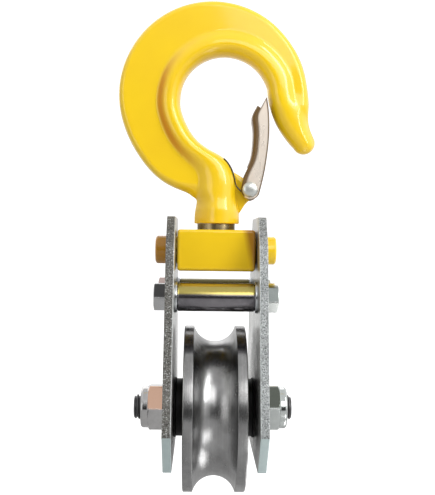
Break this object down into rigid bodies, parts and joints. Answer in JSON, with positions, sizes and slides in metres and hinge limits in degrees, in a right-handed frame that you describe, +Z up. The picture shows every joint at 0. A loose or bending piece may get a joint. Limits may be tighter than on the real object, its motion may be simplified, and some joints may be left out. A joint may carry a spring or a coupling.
{
  "type": "pulley block",
  "caption": "Pulley block: a grooved wheel on ball bearings between steel plates, hung from a tilting crosshead with a swivel hook that a sprung safety latch closes.",
  "frame": {"origin": "centre of the rope sheave, on its axle's axis midway between the side plates", "axes": "+X along the sheave's axle towards the side that the hook's nose points to at rest, +Y from front to back, +Z up towards the hook, the block's longest way"},
  "size_m": [0.0786, 0.081, 0.1946],
  "materials": {
    "hook_paint": "gloss",
    "crosshead_paint": "satin",
    "plate_zinc": "zinc plated",
    "tube_zinc": "zinc plated",
    "bolt_zinc": "zinc plated",
    "nut_zinc": "zinc plated",
    "rivet_zinc": "zinc plated",
    "latch_zinc": "zinc plated",
    "stud_steel": "rolled thread",
    "turned_steel": "turned",
    "bearing_steel": "ground",
    "spring_steel": "drawn wire",
    "bronze": "satin",
    "black_plastic": "matte",
    "nylon": "satin",
    "seal_rubber": "matte"
  },
  "bodies": {
    "hook": {"hook": "hook_paint", "shank_nut": "nut_zinc", "shank_nut_pin": "nut_zinc", "latch_rivet": "rivet_zinc", "latch_spring": "spring_steel"},
    "latch": {"latch": "latch_zinc", "latch_spring_leg": "spring_steel"},
    "crosshead": {"crosshead": "crosshead_paint", "thrust_washer": "bronze"},
    "frame": {"axle_nut_left": "nut_zinc", "axle_nut_right": "nut_zinc", "axle_stud": "stud_steel", "bearing_spacer_left": "black_plastic", "bearing_spacer_right": "black_plastic", "guard_bolt_front": "bolt_zinc", "guard_bolt_rear": "bolt_zinc", "guard_nut_front": "bolt_zinc", "guard_nut_rear": "bolt_zinc", "inner_race_left": "bearing_steel", "inner_race_right": "bearing_steel", "inner_sleeve": "bearing_steel", "nut_insert_left": "nylon", "nut_insert_right": "nylon", "side_plate_left": "plate_zinc", "side_plate_right": "plate_zinc", "spacer_tube_front": "tube_zinc", "spacer_tube_rear": "tube_zinc", "tube_washer_front_left": "bolt_zinc", "tube_washer_front_right": "bolt_zinc", "tube_washer_rear_left": "bolt_zinc", "tube_washer_rear_right": "bolt_zinc"},
    "sheave": {"circlip_left": "spring_steel", "circlip_right": "spring_steel", "outer_race_left": "bearing_steel", "outer_race_right": "bearing_steel", "seal_left_inner": "seal_rubber", "seal_left_outer": "seal_rubber", "seal_right_inner": "seal_rubber", "seal_right_outer": "seal_rubber", "sheave": "turned_steel"},
    "ball_cages": {"balls_left": "bearing_steel", "balls_right": "bearing_steel", "cage_left": "bearing_steel", "cage_right": "bearing_steel"}
  },
  "joints": [
    {"name": "latch_pivot", "type": "hinge", "parent": "hook", "child": "latch", "pos_m": [0.0131, 0, 0.087], "axis": [0, -1, 0], "range_deg": [0, 36], "stiffness_Nm_per_rad": 0.02, "springref_deg": -40.11},
    {"name": "hook_swivel", "type": "hinge", "parent": "hook", "child": "crosshead", "pos_m": [0, 0, 0.063], "axis": [0, 0, 1], "continuous": true},
    {"name": "frame_tilt", "type": "hinge", "parent": "crosshead", "child": "frame", "pos_m": [0, 0, 0.063], "axis": [1, 0, 0], "range_deg": [-60, 60]},
    {"name": "sheave_spin", "type": "hinge", "parent": "frame", "child": "sheave", "pos_m": [0, 0, 0], "axis": [1, 0, 0], "continuous": true},
    {"name": "cage_spin", "type": "hinge", "parent": "frame", "child": "ball_cages", "pos_m": [0, 0, 0], "axis": [1, 0, 0], "continuous": true}
  ],
  "couplings": [
    {"joint": "cage_spin", "follows": "sheave_spin", "ratio": 0.619}
  ]
}
